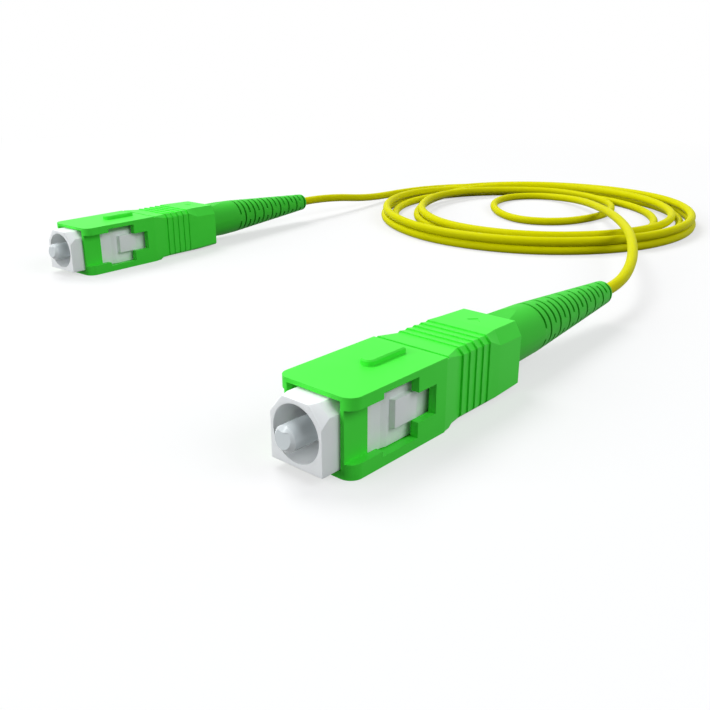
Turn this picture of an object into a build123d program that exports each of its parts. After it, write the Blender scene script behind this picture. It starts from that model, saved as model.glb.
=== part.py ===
from build123d import *
import os
from math import cos, pi, radians, sin, tan

# A simplex fibre patch cord: two push-pull connectors joined by a thin round cord that lies in a loose coil.
# Every connector piece is drawn once, about the connector's own axis: X across it, Y from the grip's front
# face to the rear, Z up. It is then seated at the near end (a) and at the far end (b).
# The row's origin is on the surface that the cord lies on, under the middle of the near grip's front block.

# Where the two connectors lie
block_length = 13.4
grip_width = 9.0
grip_top = 3.7
grip_bottom = -4.0
axis_height = -grip_bottom
near_x = 0.0
near_y = -block_length / 2
near_turn = 0.0
far_x = -76.45
far_set_back = 22.06
far_y = near_y + far_set_back
far_turn = 2.48

# Cord
cord_diameter = 1.6
cord_radius = cord_diameter / 2
fibre_diameter = 0.9
jacket_wall = 0.3

# Grip: the outer sleeve that is pushed and pulled
grip_length = 27.4
nose_radius = 1.3
tail_width = 8.5
tail_top = 3.7
tail_bottom = -3.7
tail_edge_across = 0.6
tail_edge_down = 0.65
tail_edge_under = 0.3
waist_length = 3.1
waist_edge = 0.08
waist_side_dip = 0.22
waist_top_dip = 0.14
heel_length = 1.0
heel_rise_length = 0.6
seam_width = 0.35
seam_depth = 0.2
rib_count = 4
rib_pitch = 1.18
rib_rise = 0.17
frame_step_wall = 0.8
rear_facet_across = 0.85
rear_facet_down = 1.5
rear_facet_length = 1.9
rear_taper = 0.12
tail_bore_gap = 0.2
tail_bore_side_gap = 0.3
tail_bore_corner = 1.2
key_width = 1.6
key_height = 0.58
key_start = 6.6
key_end = 11.8
key_nose_radius = 0.75
channel_height = 5.0
channel_floor = 3.55
channel_floor_length = 3.1
window_wall = 0.86
window_start = 4.15
window_end = 9.1
window_height = 6.1
slot_end = 11.8
slot_height = 3.0
mark_start = 24.3
mark_length = 1.0
mark_width = 1.8
mark_depth = 0.12

# Plug frame: the inner housing that enters the adapter
frame_width = 6.14
frame_height = 6.3
frame_nose = 2.13
frame_nose_length = 5.4
frame_ramp_length = 0.6
frame_body_width = 6.5
frame_front_length = 12.2
frame_corner_across = 1.17
frame_corner_down = 1.05
frame_lead_in = 0.95
frame_lead_in_across = 0.35
frame_lead_in_down = 0.8
frame_bore_diameter = 5.5
frame_slide_gap = 0.12
frame_rear_width = 5.9
frame_rear_height = 5.6
frame_rear_length = 7.0
partition_start = 4.2
partition_thickness = 1.0
chamber_diameter = 4.9
latch_width = 7.6
latch_height = 2.8
latch_start = 6.4
latch_flat_start = 6.6
latch_end = 9.75

# Ferrule and the parts that push it forward
ferrule_diameter = 2.5
ferrule_length = 10.5
ferrule_stand_out = 1.64
ferrule_seat_diameter = 2.0
ferrule_tip_diameter = 1.6
ferrule_tip_length = 0.45
ferrule_polish_angle = 8.0
holder_wall = 0.3
holder_grip_length = 1.0
holder_flange_diameter = 4.2
holder_flange_length = 1.4
holder_stem_diameter = 2.2
holder_stem_length = 5.6
moving_gap = 0.3
ferrule_travel = 1.2
spring_wire = 0.36
spring_mean_diameter = 3.44
spring_length = 6.8
spring_turns = 6
wire_facets = 6

# Spring body, crimp and strength yarn
body_flange_diameter = 5.4
body_flange_length = 1.2
barrel_diameter = 3.2
barrel_length = 5.1
barrel_bore = 1.6
yarn_thickness = 0.25
yarn_setback = 0.5
crimp_wall = 0.3
crimp_neck_length = 3.0

# Boot
boot_end = 55.4
boot_base_diameter = 6.6
boot_first_slot = 34.9
boot_waist_diameter = 6.1
boot_end_diameter = 3.18
boot_end_radius = 0.5
boot_flat_top = 2.9
boot_flat_bottom = -2.7
boot_flat_end = 29.3
boot_bore_gap = 0.1
slot_count = 16
slot_pitch = 1.3
slot_width = 0.38
slot_web = 1.3
slot_floor = 0.2

# Coil: turns lie side by side and two high, as one closed oval ring
coil_x = -43.2
coil_set_back = 113.2
coil_y = near_y + coil_set_back
coil_turn = 20.0
coil_outer_across = 33.1
coil_outer_along = 36.4
coil_inner_across = 23.7
coil_inner_along = 27.9
coil_height = 2 * cord_diameter
mouth_run = 4.0


def station(distance):
    """The plane across the connector at a distance behind the grip's front face; it faces the front."""
    return Plane.XZ.offset(-distance)


def tail_outline(side, top, across, down, foot, bottom):
    """The outline across the grip's tail, with its top edges cut off, and its bottom edges back to the foot."""
    right = [(0, bottom), (foot, bottom), (side, bottom + tail_edge_under),
             (side, top - down), (side - across, top), (0, top)]
    return right + [(-x, z) for x, z in reversed(right[1:-1])]


def waist_outline(distance, bottom):
    """The waist's outline at a distance, on its way from the block to the ribs."""
    share = (distance - block_length) / waist_length
    return tail_outline(*(a + share * (b - a) for a, b in zip(waist_front, waist_back)), bottom)


# Grip, moulded in one piece: a block in front, a waist, finger ribs like saw teeth, and a plain tail
ribs_start = block_length + waist_length
ribs_end = ribs_start + rib_count * rib_pitch
facet_end = ribs_end + rear_facet_length
tail_side = tail_width / 2
tail_foot = tail_side - tail_edge_under
frame_cavity_width = frame_width + 2 * frame_slide_gap
frame_cavity_height = frame_height + 2 * frame_slide_gap
frame_cavity_end = block_length - frame_step_wall
tail_bore_width = max(boot_base_diameter, frame_rear_width) + 2 * tail_bore_side_gap
tail_bore_top = max(boot_flat_top, frame_rear_height / 2) + tail_bore_gap
tail_bore_bottom = min(boot_flat_bottom, -frame_rear_height / 2) - tail_bore_gap
heel_end = block_length + heel_length
heel_rise_end = heel_end + heel_rise_length
waist_front = (grip_width / 2, grip_top, waist_edge, waist_edge, grip_width / 2 - waist_edge)
waist_back = (tail_side - waist_side_dip, tail_top - waist_top_dip, tail_edge_across, tail_edge_down, tail_foot)
rib_front = tail_outline(tail_side, tail_top, tail_edge_across, tail_edge_down, tail_foot, tail_bottom)
rib_back = tail_outline(tail_side - rib_rise, tail_top - rib_rise, tail_edge_across, tail_edge_down,
                        tail_foot, tail_bottom)
facet_front = tail_outline(tail_side, tail_top, rear_facet_across, rear_facet_down, tail_foot, tail_bottom)
facet_back = tail_outline(tail_side - rear_taper, tail_top - rear_taper, rear_facet_across, rear_facet_down,
                          tail_foot - rear_taper, tail_bottom + rear_taper)
waist_marks = [(block_length, grip_bottom), (heel_end, grip_bottom), (heel_rise_end, tail_bottom),
               (ribs_start, tail_bottom)]
tail_spans = [(start, waist_outline(start, low), end, waist_outline(end, end_low))
              for (start, low), (end, end_low) in zip(waist_marks, waist_marks[1:])]
for rib in range(rib_count):
    rib_start = ribs_start + rib * rib_pitch
    tail_spans.append((rib_start, rib_front, rib_start + rib_pitch, rib_back))
tail_spans.append((ribs_end, rib_front, facet_end, facet_front))
tail_spans.append((facet_end, facet_front, grip_length, facet_back))
with BuildPart() as grip:
    with BuildSketch(Plane.XY.offset(grip_bottom)) as block_plan:
        with Locations((0, block_length / 2)):
            Rectangle(grip_width, block_length)
        fillet(block_plan.vertices().group_by(Axis.Y)[0], nose_radius)
    extrude(amount=grip_top - grip_bottom)
    for start, start_outline, end, end_outline in tail_spans:
        for distance, outline in ((start, start_outline), (end, end_outline)):
            with BuildSketch(station(distance)):
                with BuildLine():
                    Polyline(*outline, close=True)
                make_face()
        loft()
    # Narrow groove across the top where the block ends
    with BuildSketch(Plane.XY.offset(grip_top)):
        with Locations((0, block_length + seam_width / 2)):
            Rectangle(grip_width, seam_width)
    extrude(amount=-seam_depth, mode=Mode.SUBTRACT)
    # Shallow triangle on top that points to the rear
    with BuildSketch(Plane.XY.offset(tail_top)):
        with BuildLine():
            Polyline((-mark_width / 2, mark_start), (mark_width / 2, mark_start),
                     (0, mark_start + mark_length), close=True)
        make_face()
    extrude(amount=-mark_depth, mode=Mode.SUBTRACT)
    # Key rib on top, rounded at its front
    with BuildSketch(Plane.XY.offset(grip_top)) as key_plan:
        with Locations((0, (key_start + key_end) / 2)):
            Rectangle(key_width, key_end - key_start)
        fillet(key_plan.vertices().group_by(Axis.Y)[0], key_nose_radius)
    extrude(amount=key_height)
    chamfer(grip.faces().sort_by(Axis.Z)[-1].edges(), 0.15)
    # Room for the plug frame in front and for the boot behind
    with BuildSketch(station(0)):
        Rectangle(frame_cavity_width, frame_cavity_height)
    extrude(amount=-frame_cavity_end, mode=Mode.SUBTRACT)
    with BuildSketch(station(channel_floor_length)):
        Rectangle(grip_width - 2 * window_wall, frame_cavity_height)
    extrude(amount=-(frame_cavity_end - channel_floor_length), mode=Mode.SUBTRACT)
    with BuildSketch(station(frame_cavity_end)):
        with Locations((0, (tail_bore_top + tail_bore_bottom) / 2)):
            RectangleRounded(tail_bore_width, tail_bore_top - tail_bore_bottom, tail_bore_corner)
    extrude(amount=-(grip_length - frame_cavity_end), mode=Mode.SUBTRACT)
    # Channel, window and slot in each side, where the adapter's hooks reach the latch blocks
    for side in (Plane.YZ.offset(channel_floor), Plane.YZ.offset(-channel_floor)):
        outward = grip_width / 2 if side.origin.X > 0 else -grip_width / 2
        with BuildSketch(side):
            with Locations((window_start / 2, 0)):
                Rectangle(window_start, channel_height)
        extrude(amount=outward, mode=Mode.SUBTRACT)
    with BuildSketch(Plane.YZ):
        with Locations(((window_start + window_end) / 2, 0)):
            Rectangle(window_end - window_start, window_height)
        with Locations(((window_end + slot_end) / 2, 0)):
            Rectangle(slot_end - window_end, slot_height)
    extrude(amount=grip_width, both=True, mode=Mode.SUBTRACT)

# Plug frame: top corners cut off, a lead-in round the nose, a latch block on each side
frame_top = frame_height / 2
frame_lead_in_end = frame_lead_in - frame_nose
frame_ramp_end = frame_nose_length + frame_ramp_length
partition_end = partition_start + partition_thickness
chamber_radius = chamber_diameter / 2


def frame_outline(width, across, down):
    """The plug frame's outline, whose top corners are cut off."""
    side = width / 2
    return [(-side, -frame_top), (side, -frame_top), (side, frame_top - down),
            (side - across, frame_top), (across - side, frame_top), (-side, frame_top - down)]


frame_nose_outline = frame_outline(frame_width, frame_corner_across + frame_lead_in_across,
                                   frame_corner_down + frame_lead_in_down)
frame_front_outline = frame_outline(frame_width, frame_corner_across, frame_corner_down)
frame_body_outline = frame_outline(frame_body_width, frame_corner_across, frame_corner_down)
frame_spans = [
    (-frame_nose, frame_nose_outline, frame_lead_in_end, frame_front_outline),
    (frame_lead_in_end, frame_front_outline, frame_nose_length, frame_front_outline),
    (frame_nose_length, frame_front_outline, frame_ramp_end, frame_body_outline),
    (frame_ramp_end, frame_body_outline, frame_front_length, frame_body_outline),
]
with BuildPart() as plug_frame:
    for start, start_outline, end, end_outline in frame_spans:
        for distance, outline in ((start, start_outline), (end, end_outline)):
            with BuildSketch(station(distance)):
                with BuildLine():
                    Polyline(*outline, close=True)
                make_face()
        loft()
    with BuildSketch(station(frame_front_length)):
        RectangleRounded(frame_rear_width, frame_rear_height, 0.8)
    extrude(amount=-frame_rear_length)
    with BuildSketch(Plane.XY.offset(-latch_height / 2)):
        with BuildLine():
            Polyline((frame_body_width / 2, latch_start), (latch_width / 2, latch_flat_start),
                     (latch_width / 2, latch_end), (-latch_width / 2, latch_end),
                     (-latch_width / 2, latch_flat_start), (-frame_body_width / 2, latch_start), close=True)
        make_face()
    extrude(amount=latch_height)
    with BuildSketch(station(-frame_nose)):
        Circle(frame_bore_diameter / 2)
    extrude(amount=-(partition_start + frame_nose), mode=Mode.SUBTRACT)
    with BuildSketch(station(partition_start)):
        Circle(ferrule_diameter / 2 + holder_wall + moving_gap)
    extrude(amount=-partition_thickness, mode=Mode.SUBTRACT)
    with BuildSketch(station(partition_end)):
        Circle(chamber_radius)
    extrude(amount=-(frame_front_length + frame_rear_length - partition_end), mode=Mode.SUBTRACT)

# Ferrule: a ground ceramic rod, its tip a cone that ends in a face polished at an angle
ferrule_tip = -frame_nose - ferrule_stand_out
ferrule_radius = ferrule_diameter / 2
ferrule_end = ferrule_tip + ferrule_length
seat_radius = ferrule_seat_diameter / 2
holder_front = partition_start - holder_grip_length
with BuildPart() as ferrule:
    with BuildSketch(Plane.XY):
        with BuildLine():
            Polyline((0, ferrule_tip), (ferrule_tip_diameter / 2, ferrule_tip),
                     (ferrule_radius, ferrule_tip + ferrule_tip_length), (ferrule_radius, holder_front),
                     (seat_radius, holder_front), (seat_radius, ferrule_end), (0, ferrule_end), close=True)
        make_face()
    revolve(axis=Axis.Y)
    polish_drop = ferrule_tip_diameter / 2 * tan(radians(ferrule_polish_angle))
    with BuildSketch(Plane.YZ):
        with BuildLine():
            Polyline((ferrule_tip, -ferrule_tip_diameter / 2),
                     (ferrule_tip + 2 * polish_drop, ferrule_tip_diameter / 2),
                     (ferrule_tip, ferrule_tip_diameter / 2), close=True)
        make_face()
    extrude(amount=ferrule_radius, both=True, mode=Mode.SUBTRACT)

# Ferrule holder: turned metal, a flange that stops on the frame's partition and a stem inside the spring
flange_end = partition_end + holder_flange_length
stem_end = flange_end + holder_stem_length
fibre_radius = fibre_diameter / 2
fibre_room = fibre_radius + moving_gap
with BuildPart() as ferrule_holder:
    with BuildSketch(Plane.XY):
        with BuildLine():
            Polyline((seat_radius, holder_front), (ferrule_radius + holder_wall, holder_front),
                     (ferrule_radius + holder_wall, partition_end), (holder_flange_diameter / 2, partition_end),
                     (holder_flange_diameter / 2, flange_end), (holder_stem_diameter / 2, flange_end),
                     (holder_stem_diameter / 2, stem_end), (fibre_room, stem_end),
                     (fibre_room, ferrule_end), (seat_radius, ferrule_end), close=True)
        make_face()
    revolve(axis=Axis.Y)

# Ferrule spring: wire wound with even pitch between the flange and the spring body
spring_radius = spring_mean_diameter / 2
wire_radius = spring_wire / 2
spring_end = flange_end + spring_length
spring_pitch = (spring_length - spring_wire) / spring_turns
with BuildPart() as ferrule_spring:
    with BuildLine() as wire_line:
        Helix(spring_pitch, spring_length - spring_wire, spring_radius,
              center=(0, flange_end + wire_radius, 0), direction=(0, 1, 0))
    with BuildSketch(Plane(origin=wire_line.line @ 0, z_dir=wire_line.line % 0)):
        RegularPolygon(wire_radius, wire_facets)
    sweep(is_frenet=True)

# Spring body: snapped into the frame, holds the spring and carries the crimp barrel
insert_end = frame_front_length + frame_rear_length
body_flange_end = insert_end + body_flange_length
barrel_end = body_flange_end + barrel_length
barrel_radius = barrel_diameter / 2
stem_room = holder_stem_diameter / 2 + moving_gap
with BuildPart() as spring_body:
    with BuildSketch(Plane.XY):
        with BuildLine():
            Polyline((stem_room, spring_end), (chamber_radius, spring_end), (chamber_radius, insert_end),
                     (body_flange_diameter / 2, insert_end), (body_flange_diameter / 2, body_flange_end),
                     (barrel_radius, body_flange_end), (barrel_radius, barrel_end), (barrel_bore / 2, barrel_end),
                     (barrel_bore / 2, insert_end), (stem_room, insert_end), close=True)
        make_face()
    revolve(axis=Axis.Y)

# Aramid yarn, spread round the barrel and held by the crimp sleeve
yarn_start = body_flange_end + yarn_setback
yarn_radius = barrel_radius + yarn_thickness
with BuildPart() as aramid_yarn:
    with BuildSketch(station(yarn_start)):
        Circle(yarn_radius)
        Circle(barrel_radius, mode=Mode.SUBTRACT)
    extrude(amount=-(barrel_end - yarn_start))

# Crimp sleeve: drawn metal tube, its neck closed down on the cord's jacket
crimp_radius = yarn_radius + crimp_wall
neck_end = barrel_end + crimp_neck_length
with BuildPart() as crimp_sleeve:
    with BuildSketch(Plane.XY):
        with BuildLine():
            Polyline((yarn_radius, yarn_start), (crimp_radius, yarn_start), (crimp_radius, barrel_end + crimp_wall),
                     (cord_radius + crimp_wall, barrel_end + crimp_wall), (cord_radius + crimp_wall, neck_end),
                     (cord_radius, neck_end), (cord_radius, barrel_end), (yarn_radius, barrel_end), close=True)
        make_face()
    revolve(axis=Axis.Y)

# The cord's jacket and buffered fibre inside the boot, up to the boot's mouth
with BuildPart() as cord_jacket:
    with BuildSketch(station(barrel_end)):
        Circle(cord_radius)
        Circle(cord_radius - jacket_wall, mode=Mode.SUBTRACT)
    extrude(amount=-(boot_end - barrel_end))

with BuildPart() as buffered_fibre:
    with BuildSketch(station(ferrule_end + ferrule_travel + moving_gap)):
        Circle(fibre_radius)
    extrude(amount=-(boot_end - ferrule_end - ferrule_travel - moving_gap))

# Boot: a soft moulded cone with slots that let it bend; flats that run out let the grip slide over it
boot_start = body_flange_end
slot_inner = cord_radius + boot_bore_gap + slot_floor
with BuildPart() as boot:
    with BuildSketch(Plane.XY) as boot_half:
        with BuildLine():
            Polyline((0, boot_start), (boot_base_diameter / 2, boot_start),
                     (boot_base_diameter / 2, grip_length), (boot_waist_diameter / 2, boot_first_slot),
                     (boot_end_diameter / 2, boot_end), (0, boot_end), close=True)
        make_face()
        fillet(boot_half.vertices().sort_by_distance((boot_end_diameter / 2, boot_end))[0], boot_end_radius)
    revolve(axis=Axis.Y)
    for flat, outward in ((boot_flat_top, 1), (boot_flat_bottom, -1)):
        brim = outward * boot_base_diameter / 2
        with BuildSketch(Plane.YZ):
            with BuildLine():
                Polyline((boot_start, flat), (boot_flat_end, flat), (boot_first_slot, brim),
                         (boot_first_slot, 2 * brim), (boot_start, 2 * brim), close=True)
            make_face()
        extrude(amount=boot_base_diameter, both=True, mode=Mode.SUBTRACT)
    with BuildSketch(station(boot_start)):
        Circle(crimp_radius + boot_bore_gap)
    extrude(amount=-(barrel_end + crimp_wall + boot_bore_gap - boot_start), mode=Mode.SUBTRACT)
    with BuildSketch(station(boot_start)):
        Circle(cord_radius + crimp_wall + boot_bore_gap)
    extrude(amount=-(neck_end + boot_bore_gap - boot_start), mode=Mode.SUBTRACT)
    with BuildSketch(station(boot_start)):
        Circle(cord_radius + boot_bore_gap)
    extrude(amount=-(boot_end - boot_start), mode=Mode.SUBTRACT)
    for slot in range(slot_count):
        with BuildSketch(station(boot_first_slot + slot * slot_pitch)):
            Circle(boot_base_diameter)
            Circle(slot_inner, mode=Mode.SUBTRACT)
            if slot % 2:
                Rectangle(slot_web, 3 * boot_base_diameter, mode=Mode.SUBTRACT)
            else:
                Rectangle(3 * boot_base_diameter, slot_web, mode=Mode.SUBTRACT)
        extrude(amount=-slot_width, mode=Mode.SUBTRACT)

# The cord's route: points chosen by hand, from each boot's mouth to the coil
far_along = (-sin(radians(far_turn)), cos(radians(far_turn)))
near_mouth = (near_x, near_y + boot_end, axis_height)
near_straight = (near_x, near_y + boot_end + mouth_run, axis_height)
far_mouth = (far_x + boot_end * far_along[0], far_y + boot_end * far_along[1], axis_height)
far_straight = (far_x + (boot_end + mouth_run) * far_along[0], far_y + (boot_end + mouth_run) * far_along[1],
                axis_height)
near_route = [
    near_mouth, near_straight, (-1.3, 59.4, 4.3), (-4.1, 67.5, 4.7),
    (-7.8, 75.6, 5.1), (-11.8, 83.4, 5.1), (-17.4, 93.0, 4.9), (-24.3, 103.6, 4.0), (-31.3, 113.2, 3.0),
    (-39.2, 122.0, 2.0), (-47.0, 127.8, 1.2), (-54.6, 127.6, 0.85), (-59.0, 121.2, 0.85), (-57.4, 111.8, 0.85),
    (-50.4, 102.6, 0.85), (-42.0, 98.0, 0.85), (-34.6, 101.8, 0.85), (-31.6, 110.4, 0.85), (-31.8, 119.8, 0.85),
    (-34.4, 127.0, 1.0), (-40.6, 132.9, 1.3), (-48.6, 136.2, 1.6),
]
far_route = [
    (-59.0, 137.5, 0.8), (-66.7, 135.3, 0.8), (-73.3, 130.7, 0.83), (-78.2, 124.1, 0.87), (-81.3, 116.0, 0.95),
    (-82.0, 107.2, 1.1), (-81.0, 98.8, 1.4), (-79.7, 90.6, 2.2), (-79.2, 82.6, 3.4), far_straight, far_mouth,
]


def corner_radii(route):
    """For each corner, the largest radius that its two runs allow."""
    radii = []
    for before, corner, after in zip(route, route[1:], route[2:]):
        arriving = Vector(*corner) - Vector(*before)
        leaving = Vector(*after) - Vector(*corner)
        half_turn = radians(arriving.get_angle(leaving)) / 2
        radii.append(0.45 * min(arriving.length, leaving.length) / tan(half_turn))
    return radii


def cord_tube(route, name):
    """The cord's plain tube along a route, with its radii and its volume printed for a check."""
    radii = corner_radii(route)
    with BuildPart() as tube:
        with BuildLine() as line:
            FilletPolyline(*route, radius=radii)
        with BuildSketch(Plane(origin=line.line @ 0, z_dir=line.line % 0)):
            Circle(cord_radius)
        sweep(transition=Transition.ROUND)
    length = line.wire().length
    print(name, "radii", [round(r, 1) for r in radii])
    print(name, "length", round(length, 2), "volume", round(tube.part.volume, 2),
          "section x length", round(pi * cord_radius**2 * length, 2))
    return tube


cable_lead_a = cord_tube(near_route, "cable_lead_a")
cable_lead_b = cord_tube(far_route, "cable_lead_b")

# Coil: the outer shape of the turns, which both leads run into
coil_centre = Plane(origin=(coil_x, coil_y, 0), x_dir=(cos(radians(coil_turn)), sin(radians(coil_turn)), 0))
with BuildPart() as cable_coil:
    with BuildSketch(coil_centre):
        Ellipse(coil_outer_across, coil_outer_along)
        Ellipse(coil_inner_across, coil_inner_along, mode=Mode.SUBTRACT)
    extrude(amount=coil_height)

# Write one file for each piece
os.makedirs("parts", exist_ok=True)
seats = {
    "a": Location((near_x, near_y, axis_height), (0, 0, near_turn)),
    "b": Location((far_x, far_y, axis_height), (0, 0, far_turn)),
}
connector = {
    "grip": grip, "plug_frame": plug_frame, "ferrule": ferrule, "ferrule_holder": ferrule_holder,
    "ferrule_spring": ferrule_spring, "spring_body": spring_body, "crimp_sleeve": crimp_sleeve,
    "aramid_yarn": aramid_yarn, "buffered_fibre": buffered_fibre, "cord_jacket": cord_jacket, "boot": boot,
}
for end, seat in seats.items():
    for name, piece in connector.items():
        placed = piece.part.moved(seat)
        placed.label = f"{name}_{end}"
        export_step(placed, f"parts/{name}_{end}.step")
for name, piece in (("cable_lead_a", cable_lead_a), ("cable_coil", cable_coil), ("cable_lead_b", cable_lead_b)):
    piece.part.label = name
    export_step(piece.part, f"parts/{name}.step")
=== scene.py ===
import bmesh
import bpy
from math import cos, pi, radians, sin
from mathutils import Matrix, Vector


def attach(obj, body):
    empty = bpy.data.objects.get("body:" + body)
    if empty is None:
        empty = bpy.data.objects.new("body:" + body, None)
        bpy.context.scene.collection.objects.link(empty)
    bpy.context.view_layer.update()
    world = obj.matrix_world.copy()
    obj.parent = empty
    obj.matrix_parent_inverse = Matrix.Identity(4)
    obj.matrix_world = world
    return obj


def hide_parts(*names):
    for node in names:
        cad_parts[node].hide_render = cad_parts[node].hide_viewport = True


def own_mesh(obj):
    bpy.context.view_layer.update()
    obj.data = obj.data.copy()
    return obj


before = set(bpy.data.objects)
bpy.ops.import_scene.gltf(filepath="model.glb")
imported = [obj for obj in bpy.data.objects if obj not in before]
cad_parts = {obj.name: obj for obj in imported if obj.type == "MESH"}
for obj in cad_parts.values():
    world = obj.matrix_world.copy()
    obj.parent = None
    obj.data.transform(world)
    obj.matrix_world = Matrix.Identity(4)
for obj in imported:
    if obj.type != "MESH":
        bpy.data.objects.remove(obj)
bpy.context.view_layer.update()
scene = bpy.context.scene


# View and light
# A white table top in a pale room, under three soft round lamps. The strongest stands at the left, so each
# piece throws a soft shadow towards the viewer's right. The two others fill the faces that look forward.
scene.view_settings.view_transform = "Standard"
camera = bpy.data.cameras.new("camera")
camera.lens = 41.47
camera.sensor_width = 36
camera.clip_start = 0.005
camera.clip_end = 20
camera_object = bpy.data.objects.new("camera", camera)
camera_object.location = (0.0452, -0.05228, 0.03465)
# It looks over the near connector from the front right, and a little down
ahead = (-0.6629, 0.7487)
down = radians(20.58)
view = Vector((ahead[0] * cos(down), ahead[1] * cos(down), -sin(down)))
camera_object.rotation_euler = view.to_track_quat("-Z", "Y").to_euler()
scene.collection.objects.link(camera_object)
scene.camera = camera_object


def colour(hex_value):
    """Linear RGBA of an sRGB hex colour."""
    channels = [int(hex_value[i:i + 2], 16) / 255 for i in (1, 3, 5)]
    linear = [c / 12.92 if c <= 0.04045 else ((c + 0.055) / 1.055) ** 2.4 for c in channels]
    return (*linear, 1)


def node(tree, kind, links=(), **settings):
    """Add a node; settings name its properties or its inputs, and links join (output, input name) pairs."""
    made = tree.nodes.new(kind)
    for name, value in settings.items():
        if hasattr(made, name):
            setattr(made, name, value)
        else:
            made.inputs[name.replace("_", " ")].default_value = value
    for output, target in links:
        tree.links.new(output, made.inputs[target])
    return made


def bare_material(name):
    """A material whose node tree is still empty."""
    made = bpy.data.materials.new(name)
    made.use_nodes = True
    made.node_tree.nodes.clear()
    return made


def add_lamp(name, place, target, size, power, tint):
    """A round lamp that faces its target."""
    lamp = bpy.data.lights.new(name, "AREA")
    lamp.shape = "DISK"
    lamp.size = size
    lamp.energy = power
    lamp.color = colour(tint)[:3]
    lamp_object = bpy.data.objects.new(name, lamp)
    lamp_object.location = place
    lamp_object.rotation_euler = (Vector(target) - Vector(place)).to_track_quat("-Z", "Y").to_euler()
    scene.collection.objects.link(lamp_object)


middle = (-0.03, 0.05, 0)
add_lamp("key_lamp", (-0.50, 0.16, 0.72), middle, size=0.45, power=4.6, tint="#FFFFFF")
add_lamp("right_fill", (0.44, 0.18, 0.40), middle, size=0.4, power=1.7, tint="#F8FBFF")
add_lamp("front_fill", (-0.34, -0.54, 0.30), middle, size=0.5, power=3.5, tint="#FBFDFF")

# The room lights the part dimly, and is plain white where it is seen, also in a shine or through glass
world = bpy.data.worlds.new("pale room")
scene.world = world
world.use_nodes = True
tree = world.node_tree
tree.nodes.clear()
path = node(tree, "ShaderNodeLightPath")
mirrored = node(tree, "ShaderNodeMath",
                [(path.outputs["Is Glossy Ray"], 0), (path.outputs["Is Transmission Ray"], 1)],
                operation="MAXIMUM")
seen = node(tree, "ShaderNodeMath", [(path.outputs["Is Camera Ray"], 0), (mirrored.outputs[0], 1)],
            operation="MAXIMUM")
room = node(tree, "ShaderNodeBackground", Color=colour("#F4F7FA"), Strength=0.22)
white = node(tree, "ShaderNodeBackground", Color=colour("#FFFFFF"), Strength=1.0)
mix = node(tree, "ShaderNodeMixShader", [(seen.outputs[0], 0), (room.outputs[0], 1), (white.outputs[0], 2)])
node(tree, "ShaderNodeOutputWorld", [(mix.outputs[0], "Surface")])

# The table top lies a hair below the part, so that the part's lowest faces are not in its plane
floor_half_side = 4
floor_drop = 0.00002
floor_mesh = bpy.data.meshes.new("floor")
surface = bmesh.new()
bmesh.ops.create_grid(surface, x_segments=1, y_segments=1, size=floor_half_side)
bmesh.ops.translate(surface, verts=surface.verts, vec=(0, 0, -floor_drop))
surface.to_mesh(floor_mesh)
surface.free()
floor = bpy.data.objects.new("floor", floor_mesh)
scene.collection.objects.link(floor)

# White paper: it takes soft shadows around the part and is plain white further out. Only the camera and
# reflections see it so. It is grey to other light, so little of that comes back up to the part's sides.
shadows_within = 0.14
plain_white_past = 0.3
glow_by_the_part = 0.6
table_white = bare_material("white table top")
tree = table_white.node_tree
path = node(tree, "ShaderNodeLightPath")
spot = node(tree, "ShaderNodeTexCoord")
reach = node(tree, "ShaderNodeVectorMath", [(spot.outputs["Object"], 0)], operation="LENGTH")
fade = node(tree, "ShaderNodeMapRange", [(reach.outputs["Value"], "Value")],
            From_Min=shadows_within, From_Max=plain_white_past, To_Min=glow_by_the_part)
paper = node(tree, "ShaderNodeBsdfDiffuse", Color=colour("#EFEFEF"))
glow = node(tree, "ShaderNodeEmission", Color=colour("#FFFFFF"), Strength=1.0)
dim = node(tree, "ShaderNodeBsdfDiffuse", Color=colour("#707070"))
lit = node(tree, "ShaderNodeMixShader", [(fade.outputs[0], 0), (paper.outputs[0], 1), (glow.outputs[0], 2)])
seen = node(tree, "ShaderNodeMath",
            [(path.outputs["Is Camera Ray"], 0), (path.outputs["Is Glossy Ray"], 1)],
            operation="MAXIMUM")
mix = node(tree, "ShaderNodeMixShader", [(seen.outputs[0], 0), (dim.outputs[0], 1), (lit.outputs[0], 2)])
node(tree, "ShaderNodeOutputMaterial", [(mix.outputs[0], "Surface")])
floor_mesh.materials.append(table_white)


# Cord
# A 1.6 mm simplex cord: tight-buffered glass fibre and aramid yarn in an extruded yellow jacket. It leaves
# the near boot, runs over the coil, makes one small turn inside it, then winds outwards to the far boot.
cord_diameter = 0.0016
# The route's lengths are in millimetres and its angles in degrees
near_route = [
    (0, 48.7, 4.0), (0, 52.7, 4.0), (-1.3, 59.4, 4.3), (-4.1, 67.5, 4.7), (-7.8, 75.6, 5.0),
    (-11.8, 83.4, 4.9), (-17.4, 93.0, 4.4), (-24.3, 103.6, 3.6), (-31.3, 113.2, 2.7),
    (-39.2, 122.0, 1.9), (-47.0, 127.8, 1.1), (-54.6, 127.6, 0.85), (-59.0, 121.2, 0.85),
    (-57.4, 111.8, 0.85), (-50.4, 102.6, 0.85), (-42.0, 98.0, 0.85), (-34.6, 101.8, 0.85),
    (-31.6, 110.4, 0.85), (-31.8, 119.8, 0.85), (-35.4, 127.6, 1.0), (-42.0, 131.9, 1.3),
    (-50.2, 132.9, 1.5),
]
far_route = [
    (-62.2, 137.9, 0.8), (-69.4, 133.7, 0.8), (-76.4, 126.6, 0.85), (-80.7, 117.4, 0.95),
    (-81.8, 107.8, 1.1), (-80.8, 98.8, 1.4), (-79.6, 90.6, 2.2), (-79.2, 82.6, 3.4),
    (-79.02, 74.7, 4.0), (-78.85, 70.71, 4.0),
]
coil_centre = (-44.5, 106.3)
coil_start = 119
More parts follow.
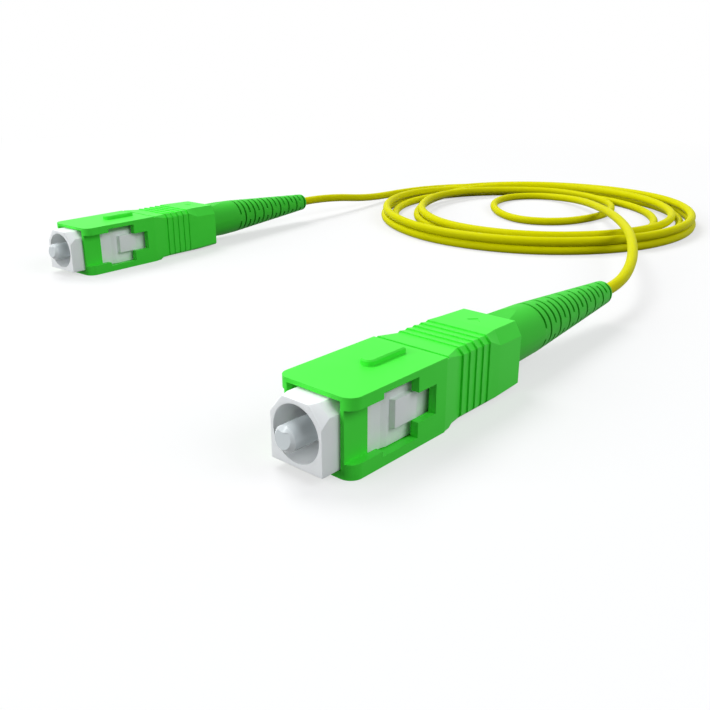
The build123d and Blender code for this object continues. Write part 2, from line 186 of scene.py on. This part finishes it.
# Distance from the coil's centre and height, at each quarter turn as the winding goes on
quarter_turns = [
    (26.6, 1.6), (22.8, 2.4), (30.4, 2.4), (29.2, 2.2), (29.4, 2.5), (24.0, 0.8), (29.4, 0.8), (25.8, 0.8),
    (28.2, 0.8), (29.0, 0.8), (32.8, 0.8), (30.8, 0.8), (31.4, 1.0), (30.8, 2.4), (35.6, 2.4), (32.8, 2.4),
    (33.8, 1.9), (31.2, 0.8), (35.6, 0.8), (33.0, 0.8), (35.4, 0.8),
]
points_a_quarter = 3
# At the back the strands fan out: one that lies fan_width outside fan_start goes out by fan_most more
fan_side = 74
fan_start = 25.8
fan_width = 8
fan_most = 1.6
fan_sharpness = 4
# The curve runs inside its points, at about this share of their distance, so they are set further out
curve_shrink = 0.974
route = [Vector(point) for point in near_route]
for quarter, (start, end) in enumerate(zip(quarter_turns, quarter_turns[1:])):
    for step in range(points_a_quarter):
        share = step / points_a_quarter
        ease = (1 - cos(pi * share)) / 2
        reach = start[0] + (end[0] - start[0]) * ease
        height = start[1] + (end[1] - start[1]) * ease
        angle = radians(coil_start + 90 * (quarter + share))
        fan = fan_most * max(0, cos(angle - radians(fan_side))) ** fan_sharpness
        reach += fan * max(0, reach - fan_start) / fan_width
        reach /= curve_shrink
        x = coil_centre[0] + reach * cos(angle)
        y = coil_centre[1] + reach * sin(angle)
        route.append(Vector((x, y, height)))
route.extend(Vector(point) for point in far_route)

cord_curve = bpy.data.curves.new("cord", "CURVE")
cord_curve.dimensions = "3D"
cord_curve.bevel_depth = cord_diameter / 2
cord_curve.bevel_resolution = 5
cord_curve.resolution_u = 8
cord_line = cord_curve.splines.new("NURBS")
cord_line.points.add(len(route) - 1)
for knot, place in zip(cord_line.points, route):
    knot.co = (*(place / 1000), 1)
cord_line.order_u = 3
cord_line.use_endpoint_u = True
cord = bpy.data.objects.new("cord", cord_curve)
scene.collection.objects.link(cord)

# Extruded PVC: a deep and even yellow, with very little shine on its matt skin. The die's drag is far finer
# than a millimetre, and is drawn 1.1 mm coarse so that it shows.
drag_mm = 1.1
drag_depth_mm = 0.02
jacket = bare_material("extruded yellow PVC jacket")
tree = jacket.node_tree
spot = node(tree, "ShaderNodeTexCoord")
drag = node(tree, "ShaderNodeTexNoise", [(spot.outputs["Object"], "Vector")],
            Scale=1000 / drag_mm, Detail=3.0)
tone = node(tree, "ShaderNodeMix", [(drag.outputs["Fac"], "Factor")],
            data_type="RGBA", A=colour("#D0CE00"), B=colour("#DAD800"))
rough = node(tree, "ShaderNodeMapRange", [(drag.outputs["Fac"], "Value")], To_Min=0.45, To_Max=0.58)
relief = node(tree, "ShaderNodeBump", [(drag.outputs["Fac"], "Height")],
              Strength=0.15, Distance=drag_depth_mm / 1000)
skin = node(tree, "ShaderNodeBsdfPrincipled",
            [(tone.outputs["Result"], "Base Color"), (rough.outputs[0], "Roughness"),
             (relief.outputs[0], "Normal")],
            IOR=1.53, Specular_IOR_Level=0.03)
node(tree, "ShaderNodeOutputMaterial", [(skin.outputs[0], "Surface")])
cord_curve.materials.append(jacket)
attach(cord, "cord_and_frames")
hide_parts("cable_lead_a", "cable_coil", "cable_lead_b")


# Grips
# The outer sleeve of each connector, moulded in one piece from glass-filled PBT. It slides a little on the
# plug frame. The mould is spark-eroded, which leaves a fine matt grain, and its edges are slightly rounded.
def dress(material, *names):
    """Give CAD nodes one material."""
    for name in names:
        mesh = bpy.data.objects[name].data
        mesh.materials.clear()
        mesh.materials.append(material)


# Pigment spreads a little unevenly as the plastic flows, in clouds about this wide
cloud_mm = 5.5
# Light that enters a milky plastic comes out again about this far away
milk_depth_mm = 0.8


def nonmetal(name, base, light, grain_mm, grain_depth_mm, roughness, edge_mm, ior, gloss, milky=0.0):
    """Plastic, ceramic or yarn: clouded between two colours, with a grain and slightly rounded edges.

    gloss is the share of its shine that the grain leaves, where 0.5 is all of it.
    """
    made = bare_material(name)
    tree = made.node_tree
    spot = node(tree, "ShaderNodeTexCoord")
    cloud = node(tree, "ShaderNodeTexNoise", [(spot.outputs["Object"], "Vector")],
                 Scale=1000 / cloud_mm, Detail=2.0)
    tone = node(tree, "ShaderNodeMix", [(cloud.outputs["Fac"], "Factor")],
                data_type="RGBA", A=colour(base), B=colour(light))
    grain = node(tree, "ShaderNodeTexNoise", [(spot.outputs["Object"], "Vector")],
                 Scale=1000 / grain_mm, Detail=2.0)
    edge = node(tree, "ShaderNodeBevel", samples=6, Radius=edge_mm / 1000)
    relief = node(tree, "ShaderNodeBump", [(grain.outputs["Fac"], "Height"), (edge.outputs[0], "Normal")],
                  Strength=0.4, Distance=grain_depth_mm / 1000)
    skin = node(tree, "ShaderNodeBsdfPrincipled",
                [(tone.outputs["Result"], "Base Color"), (relief.outputs[0], "Normal")],
                Roughness=roughness, IOR=ior, Specular_IOR_Level=gloss, Subsurface_Weight=milky,
                Subsurface_Radius=(1.0, 1.0, 0.95), Subsurface_Scale=milk_depth_mm / 1000)
    node(tree, "ShaderNodeOutputMaterial", [(skin.outputs[0], "Surface")])
    return made


# A bright, even green with a soft look, because the grain scatters nearly all shine. The real grain is a
# few hundredths of a millimetre wide, too fine to show, and is drawn 0.12 mm wide.
green_pbt = nonmetal("moulded green PBT", "#44E83B", "#4DEF44", grain_mm=0.12, grain_depth_mm=0.004,
                     roughness=0.45, edge_mm=0.04, ior=1.57, gloss=0.12)
dress(green_pbt, "grip_a", "grip_b")


# Plug frames and spring bodies
# The frame is the white housing inside each grip, and guides the adapter and the ferrule. The spring body
# snaps into it from behind. Both are moulded from white PBT, to a closer tolerance than the grip.

# A clean milky white with soft edges, because light spreads a little inside it, and a low shine. Its grain
# is finer than the grip's, and is drawn 0.1 mm wide so that it shows.
white_pbt = nonmetal("moulded white PBT", "#F8FBFB", "#FCFEFE", grain_mm=0.10, grain_depth_mm=0.002,
                     roughness=0.38, edge_mm=0.06, ior=1.57, gloss=0.5, milky=0.3)
dress(white_pbt, "plug_frame_a", "plug_frame_b", "spring_body_a", "spring_body_b")


# Ferrules
# The rod in the middle of each connector's front bore, which holds the end of the glass fibre on its axis.
# It is sintered zirconia, ground round, pressed into its metal holder, and polished at an angle at its tip.

# A dense, cool white with a clear shine. The wheel's marks are about a thousandth of a millimetre wide, and
# are drawn 0.05 mm wide.
zirconia = nonmetal("ground zirconia", "#CBD3D5", "#D5DDDF", grain_mm=0.05, grain_depth_mm=0.0005,
                    roughness=0.18, edge_mm=0.04, ior=2.1, gloss=0.5)
dress(zirconia, "ferrule_a", "ferrule_b")


# Ferrule holders, springs and crimp sleeves
# The holder is turned from brass and plated, and carries the ferrule. The spring behind it is wound from
# drawn wire. The sleeve is a drawn tube, which a hex tool has crimped over the yarn on the spring body.
def metal(name, base, light, streak_mm, roughness):
    """A bare or plated metal with fine streaks from turning or drawing, and a slightly uneven gloss."""
    made = bare_material(name)
    tree = made.node_tree
    spot = node(tree, "ShaderNodeTexCoord")
    streak = node(tree, "ShaderNodeTexNoise", [(spot.outputs["Object"], "Vector")],
                  Scale=1000 / streak_mm, Detail=3.0)
    tone = node(tree, "ShaderNodeMix", [(streak.outputs["Fac"], "Factor")],
                data_type="RGBA", A=colour(base), B=colour(light))
    smoothest, roughest = roughness - 0.06, roughness + 0.08
    rough = node(tree, "ShaderNodeMapRange", [(streak.outputs["Fac"], "Value")],
                 To_Min=smoothest, To_Max=roughest)
    skin = node(tree, "ShaderNodeBsdfPrincipled",
                [(tone.outputs["Result"], "Base Color"), (rough.outputs[0], "Roughness")], Metallic=1.0)
    node(tree, "ShaderNodeOutputMaterial", [(skin.outputs[0], "Surface")])
    return made


# A warm grey with a blurred shine. The tool's marks are drawn 0.06 mm wide, coarser than real ones.
nickel = metal("dull nickel on turned brass", "#B9B4A8", "#C9C4B8", streak_mm=0.06, roughness=0.32)
dress(nickel, "ferrule_holder_a", "ferrule_holder_b")
# A cooler and brighter grey. The die's marks are drawn 0.05 mm wide, coarser than real ones.
spring_wire = metal("drawn stainless spring wire", "#B5B6B9", "#C5C6C9", streak_mm=0.05, roughness=0.25)
dress(spring_wire, "ferrule_spring_a", "ferrule_spring_b")
# A pale warm grey with a soft shine. The drawing marks are drawn 0.08 mm wide, coarser than real ones.
crimp_metal = metal("plated crimp sleeve", "#C3BFB4", "#D0CCC2", streak_mm=0.08, roughness=0.3)
dress(crimp_metal, "crimp_sleeve_a", "crimp_sleeve_b")

# A real spring shortens as its ferrule is pushed back, and its rear end stays on the spring body.
# Here each spring is only given a mesh of its own.
far_connector_turn = radians(2.48)
for end, turn in (("a", 0), ("b", far_connector_turn)):
    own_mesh(bpy.data.objects["ferrule_spring_" + end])


# Yarn, buffered fibre and the jacket inside the boot
# Golden aramid yarn lies over the barrel, a 0.9 mm tight-buffered fibre runs through the middle, and the
# cord's own jacket reaches from the crimp to the boot's mouth.

# Dull gold without a clear shine. A real filament is 0.012 mm thick, and the strands are drawn 0.06 mm
# wide so that they show.
aramid = nonmetal("aramid yarn", "#C9A93A", "#D8BC55", grain_mm=0.06, grain_depth_mm=0.01,
                  roughness=0.6, edge_mm=0.02, ior=1.6, gloss=0.3)
dress(aramid, "aramid_yarn_a", "aramid_yarn_b")
# A warm white with the smooth, soft shine of an extruded coat, whose ripple is drawn 0.08 mm wide.
buffer = nonmetal("extruded white fibre buffer", "#E6E6E0", "#EFEFEA", grain_mm=0.08,
                  grain_depth_mm=0.001, roughness=0.4, edge_mm=0.02, ior=1.5, gloss=0.5)
dress(buffer, "buffered_fibre_a", "buffered_fibre_b")
dress(jacket, "cord_jacket_a", "cord_jacket_b")


# Boots
# A cone moulded round a core from a soft elastomer, and pushed over the crimp sleeve. Slots on alternate
# sides let it bend with the cord.

# The same green as the grip, but deeper and duller, because the soft skin shines less. Its grain is drawn
# 0.14 mm wide, coarser than the real one, so that it shows.
green_elastomer = nonmetal("moulded green elastomer", "#3BC932", "#44D13B", grain_mm=0.14,
                           grain_depth_mm=0.004, roughness=0.52, edge_mm=0.06, ior=1.5, gloss=0.12)
dress(green_elastomer, "boot_a", "boot_b")
